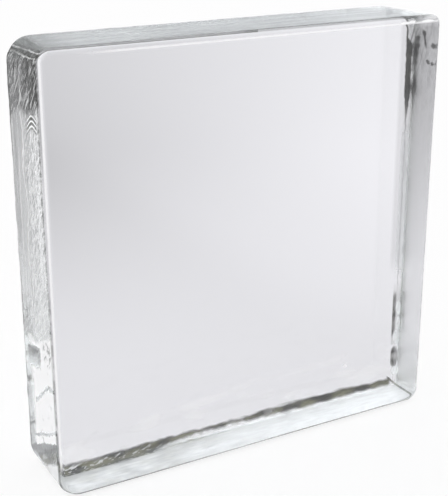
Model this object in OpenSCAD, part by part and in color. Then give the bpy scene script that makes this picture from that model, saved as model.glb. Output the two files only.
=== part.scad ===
// Solid block of clear pressed glass, standing on one of its four sides.
// The face is square with rounded corners, and a soft fire-polished rim runs round
// both faces. Width runs along X, thickness along Y and height along Z.
// The origin is at the middle of the side that the block stands on.

/* [Face] */
// Width of the face: the wall's module less one mortar joint
face_w = 194; // [60:1:400]
// Height of the face: the same module, less one joint
face_h = 194; // [60:1:400]
// Radius of the four corners of the face
corner_r = 11; // [6:0.5:25]

/* [Edge] */
// Thickness of the glass, from face to face
thickness = 38; // [20:1:120]
// Radius of the rim between each face and the sides
rim_r = 4; // [1:0.5:5]

/* [Hidden] */
$fn = 64;

// Height of the flat part of the sides, between the two rims
flat_t = thickness - 2 * rim_r;
// Places of the corner centres, from the middle of the face
corner_x = face_w / 2 - corner_r;
corner_z = face_h / 2 - corner_r;

// Round of one rim: the outer half of a disc
module rim_round() {
    intersection() {
        circle(r = rim_r);
        translate([0, -rim_r]) square([rim_r, 2 * rim_r]);
    }
}

// Section through the glass, from a line at its middle out to one side
module edge_section(reach) {
    translate([0, -thickness / 2]) square([reach - rim_r, thickness]);
    translate([0, -flat_t / 2]) square([reach, flat_t]);
    for (y = [-flat_t / 2, flat_t / 2])
        translate([reach - rim_r, y]) rim_round();
}

// Straight stretch of one side, reaching +X from the middle of the face
module straight_side(reach, length) {
    linear_extrude(height = length, center = true) edge_section(reach);
}

// Corner of the face: the same section turned a quarter, from +X up to +Z
module turned_corner() {
    rotate([90, 0, 0]) rotate_extrude(angle = 90) edge_section(corner_r);
}

// The block, pressed in one piece
module glass_block() {
    color([0.86, 0.87, 0.9, 0.4])
    translate([0, 0, face_h / 2])
    union() {
        for (turn = [0, 180])
            rotate([0, turn, 0]) straight_side(face_w / 2, 2 * corner_z);
        for (turn = [90, 270])
            rotate([0, turn, 0]) straight_side(face_h / 2, 2 * corner_x);
        for (flip_x = [0, 1], flip_z = [0, 1])
            mirror([flip_x, 0, 0]) mirror([0, 0, flip_z])
            translate([corner_x, 0, corner_z]) turned_corner();
    }
}

glass_block();
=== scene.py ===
import math

import bpy
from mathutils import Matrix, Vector


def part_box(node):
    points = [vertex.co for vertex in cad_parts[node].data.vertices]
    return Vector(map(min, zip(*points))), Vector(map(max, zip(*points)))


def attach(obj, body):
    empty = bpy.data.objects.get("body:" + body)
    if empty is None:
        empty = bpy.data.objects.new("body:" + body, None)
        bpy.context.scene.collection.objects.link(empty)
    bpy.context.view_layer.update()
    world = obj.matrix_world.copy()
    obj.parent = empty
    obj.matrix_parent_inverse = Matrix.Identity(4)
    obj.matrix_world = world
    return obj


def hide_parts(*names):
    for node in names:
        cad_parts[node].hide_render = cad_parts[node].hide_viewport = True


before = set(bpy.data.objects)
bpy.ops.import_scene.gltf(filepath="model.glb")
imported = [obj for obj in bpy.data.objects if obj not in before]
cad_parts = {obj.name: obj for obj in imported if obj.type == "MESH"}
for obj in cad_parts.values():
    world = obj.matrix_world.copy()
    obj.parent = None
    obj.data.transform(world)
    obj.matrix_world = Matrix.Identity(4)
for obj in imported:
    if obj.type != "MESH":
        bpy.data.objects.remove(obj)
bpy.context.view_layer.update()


# Glass block. One solid piece of clear glass, pressed in a mould and fire-polished.
# The two faces came out smooth. The four sides touched the colder mould wall and
# froze with fine chill ripples, and a soft rim runs round both faces.
low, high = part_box("glass_block")
middle = (low + high) / 2
face_side = high.x - low.x
thickness = high.y - low.y
front_rim_r, front_rim_steps = 0.0026, 6
back_rim_r, back_rim_steps = 0.004, 10
corner_steps = 28
run_cuts = (71, 3)
depth_cuts = 47
touching = 0.0001


def select_points(block, wanted):
    """Leaves only the points selected for which wanted(point) is true."""
    bpy.ops.mesh.select_mode(type="VERT")
    bpy.ops.mesh.select_all(action="DESELECT")
    bpy.ops.object.mode_set(mode="OBJECT")
    for point in block.data.vertices:
        point.select = wanted(point.co)
    bpy.ops.object.mode_set(mode="EDIT")


def select_edges(block, wanted):
    """Leaves only the edges selected for which wanted(start, end) is true."""
    bpy.ops.mesh.select_mode(type="EDGE")
    bpy.ops.mesh.select_all(action="DESELECT")
    bpy.ops.object.mode_set(mode="OBJECT")
    points = block.data.vertices
    for edge in block.data.edges:
        start, end = (points[i].co for i in edge.vertices)
        edge.select = wanted(start, end)
    bpy.ops.object.mode_set(mode="EDIT")


# The outlines of the two faces are cut from square plates. Their corners are rounded one
# by one, tighter at the front than at the back, and their straight runs are divided.
# Then the two outlines are joined into the four sides.
front_corners = {(-1, 1): 0.0055, (1, 1): 0.0050, (1, -1): 0.0062, (-1, -1): 0.0105}
back_corners = {(-1, 1): 0.0108, (1, 1): 0.0110, (1, -1): 0.0060, (-1, -1): 0.0120}
upright_turn = (math.pi / 2, 0, 0)
bpy.ops.object.select_all(action="DESELECT")
bpy.ops.mesh.primitive_plane_add(
    size=face_side, location=(middle.x, low.y, middle.z), rotation=upright_turn
)
block = bpy.context.object
block.name = "pressed_block"
bpy.ops.object.transform_apply(location=True, rotation=True, scale=True)
bpy.ops.object.mode_set(mode="EDIT")
bpy.ops.mesh.primitive_plane_add(
    size=face_side, location=(middle.x, high.y, middle.z), rotation=upright_turn
)
for face_y, corners in ((low.y, front_corners), (high.y, back_corners)):
    for (side_x, side_z), radius in corners.items():
        tip = Vector((side_x * face_side / 2, 0, side_z * face_side / 2))
        tip += Vector((middle.x, face_y, middle.z))
        select_points(block, lambda point: (point - tip).length < touching)
        bpy.ops.mesh.bevel(offset=radius, segments=corner_steps, profile=0.5, affect="VERTICES")
select_edges(block, lambda a, b: (a - b).length > face_side / 2)
for cuts in run_cuts:
    bpy.ops.mesh.subdivide(number_cuts=cuts)
bpy.ops.mesh.select_all(action="SELECT")
bpy.ops.mesh.delete(type="ONLY_FACE")
bpy.ops.mesh.select_mode(type="EDGE")
bpy.ops.mesh.select_all(action="SELECT")
bpy.ops.mesh.bridge_edge_loops()
for face_y in (low.y, high.y):
    select_edges(block, lambda a, b: abs(a.y - face_y) + abs(b.y - face_y) < touching)
    bpy.ops.mesh.edge_face_add()
bpy.ops.mesh.select_all(action="SELECT")
bpy.ops.mesh.normals_make_consistent(inside=False)

# Both rims are rounded, and the sides divided through the depth.
for face_y, rim_r, rim_steps in (
    (low.y, front_rim_r, front_rim_steps),
    (high.y, back_rim_r, back_rim_steps),
):
    select_edges(block, lambda a, b: abs(a.y - face_y) + abs(b.y - face_y) < touching)
    bpy.ops.mesh.bevel(
        offset=rim_r, segments=rim_steps, profile=0.5, affect="EDGES", clamp_overlap=False
    )
select_edges(block, lambda a, b: abs(a.y - b.y) > thickness / 2)
bpy.ops.mesh.subdivide(number_cuts=depth_cuts)

# Each face gets a narrow flat ring inside its rim, and an even grid in its middle.
grid_cells = 36
grid_margin = 0.008
grid_side = face_side - 2 * (back_rim_r + grid_margin)
ring_w = 0.0006
outline_points = 100
for face_y, turn in ((low.y, math.pi / 2), (high.y, -math.pi / 2)):
    bpy.ops.mesh.select_mode(type="FACE")
    bpy.ops.mesh.select_all(action="DESELECT")
    bpy.ops.object.mode_set(mode="OBJECT")
    for face in block.data.polygons:
        whole_face = len(face.vertices) > outline_points
        face.select = whole_face and abs(face.center.y - face_y) < 10 * touching
    bpy.ops.object.mode_set(mode="EDIT")
    bpy.ops.mesh.inset(thickness=ring_w, depth=0)
    bpy.ops.mesh.delete(type="FACE")
    bpy.ops.mesh.primitive_grid_add(
        x_subdivisions=grid_cells,
        y_subdivisions=grid_cells,
        size=grid_side,
        location=(middle.x, face_y, middle.z),
        rotation=(turn, 0, 0),
    )
    bpy.ops.mesh.select_mode(type="EDGE")
    bpy.ops.mesh.select_all(action="DESELECT")
    bpy.ops.mesh.select_non_manifold(
        use_wire=False,
        use_boundary=True,
        use_multi_face=False,
        use_non_contiguous=False,
        use_verts=False,
    )
    bpy.ops.mesh.bridge_edge_loops()
bpy.ops.mesh.select_all(action="SELECT")
bpy.ops.mesh.normals_make_consistent(inside=False)
bpy.ops.object.mode_set(mode="OBJECT")
bpy.ops.object.shade_smooth()


def clip(value):
    """Holds a value between 0 and 1."""
    return min(max(value, 0.0), 1.0)


def ramp(value, start, end):
    """Rises smoothly from 0 at start to 1 at end."""
    t = clip((value - start) / (end - start))
    return t * t * (3 - 2 * t)


def pressed_relief(block, name, weights, strength, texture=None, stretch=(1, 1, 1),
                   turn=(0, 0, 0), way="NORMAL"):
    """Moves each point by its weight, and in and out by a texture if one is given."""
    least_weight = 0.001
    group = block.vertex_groups.new(name=name)
    for point, weight in zip(block.data.vertices, weights):
        if weight > least_weight:
            group.add((point.index,), weight, "REPLACE")
    guide = bpy.data.objects.new(name + "_guide", None)
    bpy.context.collection.objects.link(guide)
    guide.rotation_euler = turn
    guide.scale = stretch
    bpy.context.view_layer.update()
    relief = block.modifiers.new(name, "DISPLACE")
    relief.direction = way
    relief.vertex_group = name
    relief.strength = strength
    relief.mid_level = 0.0
    if texture:
        relief.texture = texture
        relief.texture_coords = "OBJECT"
        relief.texture_coords_object = guide
        relief.mid_level = 0.5
    bpy.ops.object.modifier_apply(modifier=name)
    bpy.data.objects.remove(guide)
    block.vertex_groups.clear()


# The lower right corner filled the mould best. Behind the front rim it is drawn out
# almost sharp, along rays from the middle of its round.
drawn_r = 0.0022
drawn_most = 0.003
drawn_from = 0.45
drawn_right, drawn_down = [], []
for point in block.data.vertices:
    depth = (point.co.y - low.y) / thickness
    corner_r = front_corners[1, -1] * (1 - depth) + back_corners[1, -1] * depth
    sharp_r = drawn_r + (corner_r - drawn_r) * ramp(-depth, -drawn_from, 0.0)
    across = point.co.x - (high.x - corner_r)
    down = corner_r - (point.co.z - low.z)
    grow = 0.0
    if across > 0 and down > 0:
        along = Vector((across, down)).normalized()
        # Where the ray meets the sharper outline: its straight run, or its small arc
        gap = corner_r - sharp_r
        edge = corner_r / max(along)
        if min(along) * edge > gap:
            inner = gap * (along.x + along.y)
            edge = inner + math.sqrt(max(inner ** 2 - 2 * gap ** 2 + sharp_r ** 2, 0.0))
        grow = edge / corner_r - 1
    drawn_right.append(clip(across * grow / drawn_most))
    drawn_down.append(clip(down * grow / drawn_most))
pressed_relief(block, "drawn_right", drawn_right, drawn_most, way="X")
pressed_relief(block, "drawn_down", drawn_down, -drawn_most, way="Z")


def rim_drop(radius, depth):
    """How far a round rim stands back from its side, at a depth behind its face."""
    short = max(radius - max(depth, 0.0), 0.0)
    return radius - math.sqrt(radius ** 2 - short ** 2)


# The front rim is worn wider along the foot and the right side, least at the left.
worn_r = 0.0043
worn_most = worn_r - front_rim_r
worn_reach, worn_fade = 0.0120, 0.0088
worn_left = 0.35
worn_foot, worn_right = [], []
for point in block.data.vertices:
    depth = point.co.y - low.y
    worn = (rim_drop(worn_r, depth) - rim_drop(front_rim_r, depth)) / worn_most
    along_foot = worn_left + (1 - worn_left) * ramp(point.co.x, -0.08, 0.05)
    near_foot = clip((worn_reach - (point.co.z - low.z)) / worn_fade)
    near_right = clip((worn_reach - (high.x - point.co.x)) / worn_fade)
    worn_foot.append(worn * along_foot * near_foot)
    worn_right.append(worn * near_right)
pressed_relief(block, "worn_foot", worn_foot, worn_most, way="Z")
pressed_relief(block, "worn_right", worn_right, -worn_most, way="X")


def keep_values(block, name, values):
    """Keeps a number for each point in the mesh, for the glass's own marks to read."""
    kept = block.data.attributes.new(name, "FLOAT", "POINT")
    kept.data.foreach_set("value", values)


def clouds(name, size, depth):
    """Uneven texture of the mould wall."""
    texture = bpy.data.textures.new(name, "CLOUDS")
    texture.noise_scale = size
    texture.noise_depth = depth
    return texture


# The sides froze against the mould wall: long streaks along their run, a fine crinkle
# over their front half, and a band of chill wrinkles across their upper ends. The back
# rim is uneven, where the glass was cut off at the mouth of the mould.
points = block.data.vertices
flat_from, flat_full = 0.85, 0.99
upright = [ramp(abs(p.normal.x), flat_from, flat_full) for p in points]
level = [ramp(abs(p.normal.z), flat_from, flat_full) for p in points]
crinkled = [w * ramp(-p.co.y, -0.004, 0.004) for w, p in zip(upright, points)]
chilled = [w * ramp(p.co.z, 0.160, 0.170) for w, p in zip(upright, points)]
back_rim = [ramp(p.normal.y, 0.05, 0.3) * ramp(-p.normal.y, -0.999, -0.97) for p in points]

# Two values go along with the mesh: how far a point has turned over the back rim, and
# how far it has turned up round the upper left corner.
turned_back = [math.asin(clip(p.normal.y)) / (math.pi / 2) for p in points]
turned_up = [
    p.normal.z * (p.co.x < 0 and p.co.z > middle.z) * ramp(-abs(p.normal.y), -0.9, -0.6)
    for p in points
]
keep_values(block, "cut_edge", turned_back)
keep_values(block, "turned_corner", turned_up)

streak_depth, crinkle_depth, wrinkle_depth, wave_depth = 0.00016, 0.00011, 0.0004, 0.0006
streaks = clouds("streaks", 0.005, 1)
fine_crinkle = clouds("crinkle", 0.0019, 1)
wrinkles = clouds("wrinkles", 0.0022, 1)
waves = clouds("waves", 0.006, 2)
pressed_relief(block, "upright_streaks", upright, streak_depth, streaks, (1, 1, 10))
pressed_relief(block, "level_streaks", level, streak_depth, streaks, (10, 1, 1))
pressed_relief(block, "side_crinkle", crinkled, crinkle_depth, fine_crinkle, (1, 1, 2.5))
pressed_relief(block, "chill_wrinkles", chilled, wrinkle_depth, wrinkles, (1, 1, 6), (0.4, 0, 0))
pressed_relief(block, "back_rim_waves", back_rim, wave_depth, waves)


class Wire:
    """One socket of a node tree, with the sums of a shader written as plain expressions."""

    def __init__(self, tree, socket):
        self.tree = tree
        self.socket = socket

    @staticmethod
    def node(tree, kind, settings=None, sockets=None, out=0):
        """Adds a node with its settings and sockets, and gives back one of its outputs."""
        made = tree.nodes.new(kind)
        for name, value in (settings or {}).items():
            setattr(made, name, value)
        for name, value in (sockets or {}).items():
            if isinstance(value, Wire):
                tree.links.new(value.socket, made.inputs[name])
            else:
                made.inputs[name].default_value = value
        return Wire(tree, made.outputs[out]) if made.outputs else None

    def twin(self, name):
        """Another output of the same node."""
        return Wire(self.tree, self.socket.node.outputs[name])

    def maths(self, operation, *others):
        """Math node that starts with this value."""
        sockets = dict(enumerate((self, *others)))
        return Wire.node(self.tree, "ShaderNodeMath", {"operation": operation}, sockets)

    def over(self, other):
        """The stronger of two marks."""
        return self.maths("MAXIMUM", other)

    def ease(self, start, end):
        """Rises smoothly from 0 at start to 1 at end."""
        return Wire.node(
            self.tree,
            "ShaderNodeMapRange",
            {"interpolation_type": "SMOOTHSTEP"},
            {"Value": self, "From Min": start, "From Max": end},
        )

    def band(self, start, full, fading, end):
        """Rises from 0 at start to 1 at full, and falls from 1 at fading to 0 at end."""
        return self.ease(start, full) * self.ease(end, fading)

    def line(self, place, edge, core):
        """Thin line at a place: 1 as far as core to both sides, and 0 from edge on."""
        return (self - place).maths("ABSOLUTE").ease(edge, core)

    def near(self, other, place, size, lean=0.0):
        """Soft oval mark: self and other run across and along it, and lean slants it."""
        across = self.maths("MULTIPLY_ADD", 1 / size[0], -place[0] / size[0])
        along = other.maths("MULTIPLY_ADD", 1 / size[1], -place[1] / size[1])
        if lean:
            across = along.maths("MULTIPLY_ADD", -lean * size[1] / size[0], across)
        return across.maths("MULTIPLY_ADD", across, along * along).ease(1.3, 0.4)

    def mix(self, first, second, kind="FLOAT"):
        """Goes from first to second as this value goes from 0 to 1."""
        sockets = {"Factor": self, "A": first, "B": second}
        return Wire.node(self.tree, "ShaderNodeMix", {"data_type": kind}, sockets, "Result")

    def drawn(self, stretch, turn=(0, 0, 0)):
        """This place, for a pattern that is drawn out and then turned."""
        sockets = {"Vector": self, "Rotation": turn, "Scale": stretch}
        return Wire.node(self.tree, "ShaderNodeMapping", {"vector_type": "TEXTURE"}, sockets)

    def noise(self, scale, detail):
        """Noise at this place, about 0.5 in the middle."""
        sockets = {"Vector": self, "Scale": scale, "Detail": detail}
        return Wire.node(self.tree, "ShaderNodeTexNoise", sockets=sockets)

    @staticmethod
    def pile(marks, most):
        """Adds up marks, each with its own strength, as far as the most."""
        total = 0.0
        for mark, strength in marks:
            total = mark.maths("MULTIPLY_ADD", strength, total)
        return total.maths("MINIMUM", most)

    def __add__(self, other):
        return self.maths("ADD", other)

    __radd__ = __add__

    def __mul__(self, other):
        return self.maths("MULTIPLY", other)

    __rmul__ = __mul__

    def __sub__(self, other):
        return self.maths("SUBTRACT", other)

    def __rsub__(self, other):
        sockets = {0: other, 1: self}
        return Wire.node(self.tree, "ShaderNodeMath", {"operation": "SUBTRACT"}, sockets)


# The glass is clear all through. What follows places the marks of its sides and rims, in
# metres across (x), through the depth (y) and up (z) from the middle of its foot.
glass = bpy.data.materials.new("clear_pressed_glass")
glass.use_nodes = True
tree = glass.node_tree
tree.nodes.clear()
place = Wire.node(tree, "ShaderNodeTexCoord", out="Object")
spot_x = Wire.node(tree, "ShaderNodeSeparateXYZ", sockets={0: place}, out="X")
spot_y = spot_x.twin("Y")
spot_z = spot_x.twin("Z")
round_rim = Wire.node(tree, "ShaderNodeAttribute", {"attribute_name": "cut_edge"}, out="Fac")
turn_up = Wire.node(tree, "ShaderNodeAttribute", {"attribute_name": "turned_corner"}, out="Fac")

# The four sides between their rims, and the uneven patterns that break up their marks
inside = spot_y.band(-0.0185, -0.0165, 0.0165, 0.0188)
left_reach = spot_x.ease(-0.0925, -0.0955)
left_side = left_reach * inside
right_side = spot_x.ease(0.0925, 0.0955) * inside
under_side = spot_z.ease(0.0045, 0.0015) * inside
over_side = spot_z.ease(0.1895, 0.1925) * inside
front_face = spot_y.ease(-0.0180, -0.0188)
back_end = spot_y.ease(0.0125, 0.0145)
upper = spot_z.ease(0.136, 0.158)
right = spot_x.ease(0.080, 0.093)
ragged = place.noise(160.0, 3.0)
blotch = place.noise(95.0, 1.0)
wander = place.noise(60.0, 2.0)
low_ragged = place.drawn((1 / 0.35, 1.0, 1.0)).noise(260.0, 2.0)
brush = place.drawn((1.0, 1.0, 9.0), (0.66, 0, 0)).noise(1450.0, 1.0)
crinkle = place.drawn((3.3, 1.0, 3.3), (0.55, 0, 0)).noise(900.0, 1.0)
grain = place.drawn((1.0, 1.0, 1 / 0.045)).noise(620.0, 1.0)
slashes = place.drawn((7.0, 1.0, 1.0), (0, -0.45, 0)).noise(950.0, 1.0)
scuffs = place.drawn((1 / 0.40, 1.0, 1.0)).noise(120.0, 1.0)
off_ragged = ragged - 0.5
off_wander = wander - 0.5

# Dark olive band painted along the foot of the back rim. Both its edges are ragged, and
# pale slashes cross it towards the left.
band_top, band_foot = 0.0053, 0.0012
low_top = (
    spot_z - band_top
    + (low_ragged - 0.5) * 0.0036
    + spot_x.ease(0.022, 0.008) * 0.0012
    + spot_x.ease(-0.035, -0.060) * 0.0005
    + spot_x.ease(0.060, 0.085) * 0.0009
)
low_foot = (
    spot_z - band_foot
    - spot_x.ease(0.020, 0.010) * 0.0010
    + spot_x.ease(-0.024, -0.050) * 0.0032
    + off_ragged * 0.0034
)
slash = slashes.ease(0.50, 0.62) * (spot_x.ease(-0.030, -0.060) * 0.7 + 0.3)
slash = slash * spot_x.ease(0.020, -0.020) * low_top.ease(-0.0002, -0.0014) * back_end
lower_band = low_top.ease(0.0009, -0.0009) * low_foot.ease(-0.0009, 0.0015)
lower_band = lower_band * back_end * spot_x.ease(0.0945, 0.0915)
lower_band = lower_band * (1.0 - slash * 0.85) * (1.0 - spot_x.line(0.020, 0.0060, 0.0010) * 0.30)

# The same dark band up the right end of the back rim: it narrows to a blade at the top,
# with painted highlights for clear lenses in a beaded run near the foot, and a clot
# below them
blade_up = spot_z.ease(0.1765, 0.1810)
half_w = (0.02 + upper * 0.21) * (1.0 - blade_up * 0.80) * right * spot_z.ease(0.050, 0.060)
off_core = (round_rim - 0.66 - blade_up * 0.22 + off_ragged * 0.30).maths("ABSOLUTE")
right_band = (half_w - off_core).ease(-0.07, 0.05) * right * (0.35 + upper * 0.65)
lens = round_rim.near(spot_z, (0.45, 0.0437), (0.28, 0.0044))
lens = lens.over(round_rim.near(spot_z, (0.42, 0.0350), (0.26, 0.0046)))
lens = lens.over(round_rim.near(spot_z, (0.52, 0.0275), (0.36, 0.0050)))
foot_lens_highlight = round_rim.near(spot_z, (0.50, 0.0088), (0.40, 0.0030)) * right
beaded_zone = spot_z.band(0.0225, 0.0245, 0.0480, 0.0600)
beaded_zone = beaded_zone * round_rim.band(0.02, 0.12, 0.95, 0.995) * right
bead_dark = round_rim.ease(0.62, 0.80) * spot_z.band(0.0265, 0.0310, 0.0490, 0.0540)
beaded = beaded_zone * (1.0 - lens) * (0.22 + bead_dark * 0.60) * (0.3 + ragged * 1.2)
clot = round_rim.near(spot_z, (0.66, 0.0165), (0.40, 0.0060)) * round_rim.ease(0.99, 0.94) * right
clot = clot * (0.55 + round_rim.ease(0.55, 0.80) * 0.35 + ragged.ease(0.42, 0.58) * 0.10)
rim_dark_band = lower_band.over(right_band).over(beaded).over(clot)

# Painted shade over the upper ends of the upright sides, where they froze first. It runs on
# as a painted dark strip round the upper left corner, between two painted highlight lines.
chill = (spot_z + off_wander * 0.014 + spot_y * 0.20).ease(0.163, 0.169)
streak = brush.ease(0.54, 0.64)
sideways = spot_y.ease(-0.019, 0.019) * 0.16
strip = (turn_up - sideways).ease(0.32, 0.40) * turn_up.ease(0.99, 0.93)
strip_highlight_line = (turn_up - sideways + off_ragged * 0.35).line(0.34, 0.06, 0.02)
strip_highlight_line = strip_highlight_line.over((turn_up + off_ragged * 0.06).line(0.66, 0.045, 0.020))
top_end = turn_up.ease(0.90, 0.95) * (spot_x + (brush - 0.5) * 0.02).ease(-0.074, -0.092)
shade_tint = chill * left_side.over(right_side * 0.6) * (1.0 - streak * 0.5)
shade_tint = shade_tint * (0.80 + spot_y.ease(0.012, -0.012) * 0.20)
shade_tint = shade_tint.over(strip * 0.95).over(top_end * 0.7)

# Three nested laps, where the glass folded on itself as it filled the mould, with painted
# shade and painted highlights along their arcs
lap_pitch = 0.00203
lap_bend = 0.0025
lap_y = spot_y + 0.0097
lap_bow = (lap_y * lap_y + lap_bend ** 2).maths("SQRT") - lap_bend
lap_way = spot_z + lap_y * 0.197 + lap_bow * 0.68 - 0.1671
lap_wave = (lap_way * (math.tau / lap_pitch)).maths("COSINE")
lap_zone = lap_way.line(-0.0022, 0.0032, 0.0026) * lap_y.line(0.0, 0.0062, 0.0045) * left_side
lap_shade = lap_wave.ease(-0.20, -0.75) * lap_zone
lap_highlight = lap_wave.ease(0.35, 0.80) * lap_zone

# Crinkle over the front half of the left side, and a fine upright grain over its back
# half, with a pale seam where they meet
front_half = (spot_y + off_wander * 0.008).ease(0.001, -0.001)
crinkled_part = front_half * left_side * (1.0 - chill)
fleck = crinkle.ease(0.52, 0.66) * crinkled_part
dim_fleck = crinkle.ease(0.46, 0.34) * crinkled_part
back_half = (1.0 - front_half) * left_side * (1.0 - chill) * spot_z.ease(0.068, 0.080)
back_line = (spot_y + (spot_z - 0.125) * 0.03).line(0.0085, 0.0007, 0.0002)
back_line = back_line * spot_z.band(0.100, 0.112, 0.142, 0.150) * left_side
seam = (spot_y + off_wander * 0.016).line(0.0015, 0.0007, 0.0002) * left_side
seam = seam * (1.0 - chill * 0.4) * spot_z.band(0.070, 0.090, 0.178, 0.184)

# Slanting dark folds of painted shade over a pale ground painted as a reflection, at the
# foot of the left side
foot_way = spot_z + spot_y * 0.49 + off_ragged * 0.0032 + (crinkle - 0.5) * 0.0016
caret = foot_way + (spot_y + 0.011).maths("ABSOLUTE") * 0.30
patch_way = spot_z + spot_y * 0.20 + off_ragged * 0.0020
patch = patch_way.band(0.0540, 0.0640, 0.0645, 0.0660)
patch = patch * spot_y.band(-0.0045, -0.0025, 0.0105, 0.0120)
foot_fold_shade = caret.line(0.0457, 0.0013, 0.0004) * spot_y.ease(0.0060, 0.0040) * 0.48
foot_fold_shade = foot_fold_shade.over(foot_way.line(0.0238, 0.0010, 0.0003) * 0.35)
foot_fold_shade = foot_fold_shade.over(foot_way.band(0.0090, 0.0175, 0.0185, 0.0195) * 0.90)
foot_fold_shade = foot_fold_shade.over(patch * 0.90)
foot_reflection = foot_way.band(0.0105, 0.0120, 0.0660, 0.0690) * (1.0 - foot_fold_shade.ease(0.0, 0.15))
foot_reflection = foot_reflection * (spot_y + off_wander * 0.010).ease(0.0100, 0.0060) * left_side
reflection_spot = spot_y.near(spot_z, (0.0062, 0.0672), (0.0048, 0.0024)) * left_side

# Painted shade darkens the upper side but for its right end, most in the middle and along
# its streaks.
top_shade_tint = 0.74 + spot_x.band(-0.06, -0.03, 0.03, 0.06) * 0.12 + brush.ease(0.45, 0.60) * 0.16
top_shade_tint = top_shade_tint * over_side * spot_x.ease(0.086, 0.070)
shade_tint = shade_tint.over(top_shade_tint).over(lap_shade)
shade_tint = shade_tint.over(dim_fleck * foot_way.ease(0.060, 0.075) * 0.40)
shade_tint = shade_tint.over(foot_fold_shade * left_side) * (1.0 - lap_highlight)

# Clear glass, with the painted shade and the dark olive band in its colour and the crinkle
# in its skin
clear, shade_grey = (1, 1, 1, 1), (0.035, 0.035, 0.033, 1)
band_black, band_olive = (0.012, 0.012, 0.010, 1), (0.110, 0.108, 0.060, 1)
glass_ior = 1.52
skin_depth = 0.001
polish, ground, foot_ground = 0.01, 0.30, 0.25
shade_tinted = shade_tint.mix(clear, shade_grey, "RGBA")
olive = blotch.ease(0.40, 0.62).mix(band_black, band_olive, "RGBA")
colour = rim_dark_band.mix(shade_tinted, olive, "RGBA")
height = (
    left_side * (spot_y.ease(0.001, -0.001) * 0.10 + 0.03) * crinkle
    + over_side * crinkle * 0.03
    + left_side * spot_z.ease(0.163, 0.169) * brush * 0.06
    + lap_wave * lap_zone * 0.06
)
skin = Wire.node(
    tree, "ShaderNodeBump", sockets={"Strength": 1.0, "Distance": skin_depth, "Height": height}
)
dullness = polish + right_side.over(under_side) * ground
dullness = dullness + right_side * spot_z.ease(0.040, 0.015) * foot_ground
body = Wire.node(
    tree,
    "ShaderNodeBsdfPrincipled",
    sockets={
        "Base Color": colour,
        "Roughness": dullness,
        "IOR": glass_ior,
        "Transmission Weight": 1.0,
        "Normal": skin,
    },
)

# White lines and flecks over the glass, each with its strength, partly frosting and scuffs
# and partly painted highlights, reflections and shade: on the front face and its edges, on
# the right end of the back rim, and on the left side and the under side
scuff = scuffs.ease(0.54, 0.66) * (spot_z - spot_x * 0.02).line(0.026, 0.012, 0.003) * front_face
seed = spot_x.near(spot_z, (0.0499, 0.0300), (0.0012, 0.0009)) * front_face
# Painted highlights: thin lines along the front top and left rims, and dashes on the top rim
face_edge_highlight = spot_z.line(0.1910, 0.0007, 0.0002) * spot_x.ease(-0.085, -0.060)
face_edge_highlight = face_edge_highlight.over(spot_x.line(-0.0960, 0.0009, 0.0003) * spot_z.ease(0.010, 0.020))
face_edge_highlight = face_edge_highlight * spot_y.ease(-0.0180, -0.0184)
rim_highlight_dash = spot_x.near(spot_z, (0.0756, 0.1913), (0.0028, 0.0006))
rim_highlight_dash = rim_highlight_dash.over(spot_x.near(spot_z, (0.0792, 0.1916), (0.0020, 0.0007)))
rim_highlight_dash = rim_highlight_dash.over(spot_x.near(spot_z, (0.0880, 0.1914), (0.0034, 0.0006)))
rim_highlight_dash = rim_highlight_dash * spot_y.ease(-0.015, -0.017)
blade_edge = round_rim + (spot_z - 0.1775) * 52.0
blade_zone = round_rim.ease(0.80, 0.74) * spot_z.ease(0.1765, 0.1780)
blade = blade_edge.ease(0.71, 0.85) * blade_zone * right_side.over(right)
blade_line = blade_edge.line(0.65, 0.12, 0.04) * round_rim.ease(0.02, 0.10) * blade_zone * right
# Painted grey shade over the right end of the back rim
right_rim_grey_shade = round_rim.band(0.02, 0.15, 0.90, 0.99) * right
right_rim_grey_shade = right_rim_grey_shade * spot_z.band(0.058, 0.070, 0.128, 0.142)
# The under side is frosted, and lighter to the right as painted light
under_frost_and_light = under_side * (0.66 + spot_x.ease(-0.03, 0.05) * 0.26 + (low_ragged - 0.5) * 0.6)
frost_and_highlight = Wire.pile(
    (
        (scuff, 0.25),
        (seed, 0.5),
        (face_edge_highlight, 0.65),
        (rim_highlight_dash, 0.8),
        (blade, 0.65),
        (right_rim_grey_shade, 0.5),
        (lens * beaded_zone, 0.85),
        (foot_lens_highlight, 0.8),
        (slash, 0.30),
        (strip_highlight_line * (0.3 + ragged.ease(0.36, 0.56) * 0.7), 0.65),
        (streak * chill * left_side, 0.26),
        (lap_highlight, 0.90),
        (seam, 0.70),
        (back_line, 0.55),
        (back_half * grain.ease(0.52, 0.68), 0.20),
        (fleck * foot_way.ease(0.040, 0.075), 0.45),
        (foot_reflection * ragged.ease(0.15, 0.40), 0.97),
        (reflection_spot, 0.8),
        (left_side * foot_way.ease(0.0100, 0.0080), 0.6),
        (under_frost_and_light, 1.0),
    ),
    0.97,
)

# Dark specks painted on the right side as shade: place and size through the depth and up,
# and how far each one leans
specks = spot_y.near(spot_z, (0.0124, 0.1805), (0.0026, 0.0013))
for speck_place, speck_size, lean in (
    ((0.0046, 0.1834), (0.0026, 0.0014), 0.3),
    ((0.0033, 0.1808), (0.0014, 0.0042), 0.52),
    ((-0.0075, 0.1784), (0.0026, 0.0014), 0.2),
    ((0.0118, 0.1769), (0.0028, 0.0012), -0.6),
    ((-0.0023, 0.1706), (0.0024, 0.0012), 0.6),
    ((-0.0076, 0.1701), (0.0018, 0.0010), 0.0),
):
    specks = specks.over(spot_y.near(spot_z, speck_place, speck_size, lean))
mottle = ragged.ease(0.42, 0.62) * upper
olive_band = spot_y.ease(0.0095, 0.0130) * spot_z.band(0.150, 0.158, 0.176, 0.181)
olive_band = olive_band * ragged.ease(0.30, 0.55)
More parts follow.
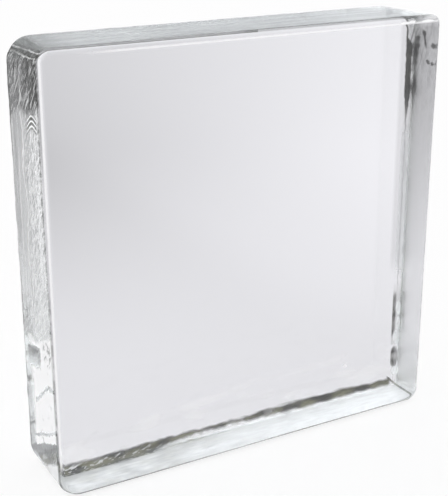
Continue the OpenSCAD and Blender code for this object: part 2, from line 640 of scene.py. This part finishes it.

# Painted shade: dark lines along the rims and on the under side, and along the mitre
# where the right side meets the under side
mitre = (spot_x + spot_z).line(0.097, 0.0009, 0.0004) * spot_x.ease(0.0900, 0.0925)
mitre = mitre * spot_z.ease(0.0075, 0.0050) * spot_y.ease(-0.0176, -0.0160)
rim_shade = spot_x.ease(0.0892, 0.0915) * round_rim.ease(0.30, 0.65) * spot_z.ease(0.060, 0.075)
top_rim_shade_line = spot_y.line(-0.0177, 0.0009, 0.0004) * spot_z.ease(0.1918, 0.1924)
top_rim_shade_line = top_rim_shade_line * spot_x.band(-0.010, -0.003, 0.088, 0.094)
top_shade = spot_y.ease(-0.0178, -0.0182) * spot_z.ease(0.1912, 0.1918)
top_shade = top_shade * spot_x.band(-0.080, -0.060, 0.070, 0.076)
left_rim_shade_line = 0.26 + spot_z.ease(0.105, 0.085) * ragged.ease(0.40, 0.56) * 0.26 + upper * 0.26
left_rim_shade_line = left_rim_shade_line * spot_x.ease(-0.0950, -0.0960) * spot_y.line(-0.0175, 0.0009, 0.0004)
foot_shade_line = spot_z.ease(0.0024, 0.0012) * spot_y.ease(-0.0140, -0.0160)
under_shade_line = (spot_y + off_ragged * 0.0030).line(0.0163, 0.0010, 0.0004)
under_shade_line = under_shade_line * under_side * spot_x.ease(0.03, -0.06) * low_ragged.ease(0.40, 0.55)

# Dark marks on the left side, towards its back rim and at its foot, and painted shade on
# the under side, darker to the left
left_rim = left_reach * (spot_y - ragged * 0.003).ease(0.0120, 0.0140)
left_rim = left_rim * (0.18 + upper * 0.44 + spot_z.ease(0.095, 0.080) * 0.22)
waist = (spot_y - ragged * 0.004).ease(0.0005, 0.0025) * spot_z.band(0.0665, 0.0690, 0.0780, 0.0900)
waist = waist * left_side * brush.ease(0.40, 0.55)
heel = (spot_y - ragged * 0.004).ease(0.0070, 0.0090) * spot_z.ease(0.052, 0.046)
heel = heel * left_side * wander.ease(0.35, 0.60)
smudge = spot_y.near(spot_z, (-0.0120, 0.0668), (0.0050, 0.0060)) * left_side
smudge = smudge * crinkle.ease(0.48, 0.60)
# Painted shade over the chill band of the left side, darker towards the front
chill_shade = chill * left_side * (1.0 - streak) * (0.26 + spot_y.ease(-0.008, -0.014) * 0.20)
under_left_shade = under_side * spot_x.ease(0.04, -0.06) * (0.20 + wander.ease(0.40, 0.62) * 0.20)
dark_marks_and_shade = Wire.pile(
    (
        (specks * right_side, 0.85),
        (mottle * right_side, 0.18),
        (olive_band * right_side, 0.75),
        (rim_dark_band, 0.9),
        (mitre, 0.7),
        (rim_shade, 0.17),
        (top_rim_shade_line, 0.45),
        (top_shade, 0.09),
        (left_rim_shade_line, 1.0),
        (foot_shade_line, 0.6),
        (under_shade_line, 0.7),
        (blade_line, 0.5),
        (strip * turn_up.ease(0.68, 0.62), 0.32),
        (strip * turn_up.ease(0.68, 0.74), 0.22),
        (top_end * (0.12 + brush * 0.3), 1.0),
        (chill_shade, 1.0),
        (lap_shade, 0.85),
        (back_half * grain.ease(0.48, 0.32), 0.20),
        (left_rim, 1.0),
        (waist, 0.28),
        (heel, 0.22),
        (smudge, 0.6),
        (under_left_shade, 1.0),
    ),
    0.9,
)

# The pale layer (frosting, scuffs and painted highlights) and the dark layer (the dark band,
# marks and painted shade) lie in the skin of the glass, and a slight green goes through its
# whole thickness.
pale_grey, pale_white = (0.94, 0.945, 0.95, 1), (0.98, 0.98, 0.98, 1)
dark_layer_black, dark_layer_olive = (0.035, 0.035, 0.030, 1), (0.155, 0.150, 0.095, 1)
glass_green = (0.80, 0.86, 0.74, 1)
pale_rough, dark_layer_rough = 0.5, 0.6
olive_part = (low_ragged * 0.5 + blotch * 0.5).ease(0.42, 0.60) * low_top.ease(0.0006, -0.0010)
pale_layer = Wire.node(
    tree,
    "ShaderNodeBsdfPrincipled",
    sockets={
        "Base Color": ragged.mix(pale_grey, pale_white, "RGBA"),
        "Roughness": pale_rough,
        "IOR": glass_ior,
    },
)
dark_layer = Wire.node(
    tree,
    "ShaderNodeBsdfPrincipled",
    sockets={
        "Base Color": olive_part.mix(dark_layer_black, dark_layer_olive, "RGBA"),
        "Roughness": dark_layer_rough,
        "IOR": glass_ior,
    },
)
body = Wire.node(tree, "ShaderNodeMixShader", sockets={0: frost_and_highlight, 1: body, 2: pale_layer})
body = Wire.node(tree, "ShaderNodeMixShader", sockets={0: dark_marks_and_shade, 1: body, 2: dark_layer})
tint = Wire.node(
    tree, "ShaderNodeVolumeAbsorption", sockets={"Color": glass_green, "Density": 1.0}
)
Wire.node(tree, "ShaderNodeOutputMaterial", sockets={"Surface": body, "Volume": tint})
block.data.materials.append(glass)
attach(block, "root")
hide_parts("glass_block")


# Floor. A plain pale sheet that runs out far behind the block. The glass sees it glowing in
# painted tones of light: darker to the left, lighter out to the right and under the block.
floor_size = 12.0
floor_drop = 0.0003
floor_colour = (0.90, 0.895, 0.905, 1)
floor_tint = (0.985, 0.98, 1.03)
near_tone, under_tone, right_glow = 0.755, 0.85, 0.4
far_tone, far_slope, far_least, far_most = 0.375, 0.71, 0.40, 1.1
shown_white, shown_tone = 0.80, 0.85
bpy.ops.object.select_all(action="DESELECT")
bpy.ops.mesh.primitive_plane_add(size=floor_size, location=(0, 0, low.z - floor_drop))
floor = bpy.context.object
floor.name = "floor"
sheet = bpy.data.materials.new("pale_floor")
sheet.use_nodes = True
tree = sheet.node_tree
tree.nodes.clear()
spot = Wire.node(tree, "ShaderNodeTexCoord", out="Object")
spot_x = Wire.node(tree, "ShaderNodeSeparateXYZ", sockets={0: spot}, out="X")
spot_y = spot_x.twin("Y")
reach = Wire.node(tree, "ShaderNodeVectorMath", {"operation": "LENGTH"}, {0: spot}, out="Value")
tone = (far_tone + spot_x.maths("DIVIDE", reach) * far_slope).over(far_least)
tone = reach.ease(0.1, 0.6).mix(near_tone, tone.maths("MINIMUM", far_most))
tone = tone + spot_y.ease(-0.02, -0.15) * spot_x.ease(0.08, 0.16) * right_glow
under = spot_x.line(0.0, 0.10, 0.095) * spot_y.line(0.0, 0.024, 0.019)
tone = under.mix(tone, under_tone)
tinted = Wire.node(
    tree, "ShaderNodeVectorMath", {"operation": "SCALE"}, {0: floor_tint, "Scale": tone}
)
lit = Wire.node(tree, "ShaderNodeBsdfDiffuse", sockets={"Color": floor_colour})
faded = Wire.node(tree, "ShaderNodeEmission", sockets={"Color": tinted, "Strength": 1.0})
white = Wire.node(tree, "ShaderNodeEmission", sockets={"Color": (1, 1, 1, 1), "Strength": 1.0})
direct = Wire.node(tree, "ShaderNodeLightPath", out="Is Camera Ray")
by_glass = direct.twin("Is Glossy Ray").over(direct.twin("Is Transmission Ray"))
in_glass = Wire.node(
    tree, "ShaderNodeMixShader", sockets={0: by_glass * shown_tone, 1: lit, 2: faded}
)
mixed = Wire.node(
    tree, "ShaderNodeMixShader", sockets={0: direct * shown_white, 1: in_glass, 2: white}
)
Wire.node(tree, "ShaderNodeOutputMaterial", sockets={"Surface": mixed})
floor.data.materials.append(sheet)


# Studio light. Plain white comes from all round. What the glass shows of it is dim low
# down at the left, brighter to the right and from the front, and brightest overhead.
plain_white, plain_level = (1, 1, 1, 1), 1.05
sky_tint = (0.95, 0.98, 1.02)
low_level, low_slope, low_least, low_most = 0.62, 0.95, 0.30, 1.2
high_part, high_least = 0.95, 0.80
front_low, front_high, back_light, overhead_light = 1.9, 2.4, 1.4, 3.6
world = bpy.data.worlds.new("soft_studio")
bpy.context.scene.world = world
world.use_nodes = True
tree = world.node_tree
tree.nodes.clear()
way = Wire.node(tree, "ShaderNodeTexCoord", out="Generated")
way_x = Wire.node(tree, "ShaderNodeSeparateXYZ", sockets={0: way}, out="X")
way_y = way_x.twin("Y")
way_z = way_x.twin("Z")
level_way = (way_x * way_x + way_y * way_y).maths("SQRT").over(0.001)
rightward = way_x.maths("DIVIDE", level_way)
behind = way_y.maths("DIVIDE", level_way)
frontal = behind.ease(0.4, -0.2)
straight_back = (rightward * 0.191 + behind * 0.982).ease(0.9781, 0.9863)
low_glow = (low_level + rightward * low_slope).over(low_least).maths("MINIMUM", low_most)
high_glow = frontal.mix((low_glow * high_part).over(high_least), front_high)
high_glow = straight_back.mix(high_glow, back_light)
low_glow = frontal.mix(low_glow, front_low)
glow = way_z.ease(0.30, 0.42).mix(low_glow, high_glow)
glow = way_z.ease(0.62, 0.80).mix(glow, overhead_light)
tinted = Wire.node(
    tree, "ShaderNodeVectorMath", {"operation": "SCALE"}, {0: sky_tint, "Scale": glow}
)
sky = Wire.node(tree, "ShaderNodeBackground", sockets={"Color": tinted, "Strength": 1.0})
plain = Wire.node(
    tree, "ShaderNodeBackground", sockets={"Color": plain_white, "Strength": plain_level}
)
direct = Wire.node(tree, "ShaderNodeLightPath", out="Is Camera Ray")
shown = direct.over(direct.twin("Is Glossy Ray")).over(direct.twin("Is Transmission Ray"))
mixed = Wire.node(tree, "ShaderNodeMixShader", sockets={0: shown, 1: plain, 2: sky})
Wire.node(tree, "ShaderNodeOutputWorld", sockets={"Surface": mixed})


# Camera. It stands to the left of the block and above it, and looks down through the
# front face. Light may cross and turn inside the glass many times.
camera_place = (-0.24194, -0.41832, 0.26612)
camera_turn = math.radians(29.414)
camera_dip = math.radians(19.714)
focal_px = 1129.51
picture_h = 496
sensor_w = 36.0
glass_bounces = 11
bpy.ops.object.camera_add(
    location=camera_place, rotation=(math.pi / 2 - camera_dip, 0, -camera_turn)
)
camera = bpy.context.object
camera.data.sensor_width = sensor_w
camera.data.lens = focal_px * sensor_w / picture_h
scene = bpy.context.scene
scene.camera = camera
scene.view_settings.view_transform = "Standard"
scene.cycles.max_bounces = glass_bounces
scene.cycles.glossy_bounces = glass_bounces
scene.cycles.transmission_bounces = glass_bounces
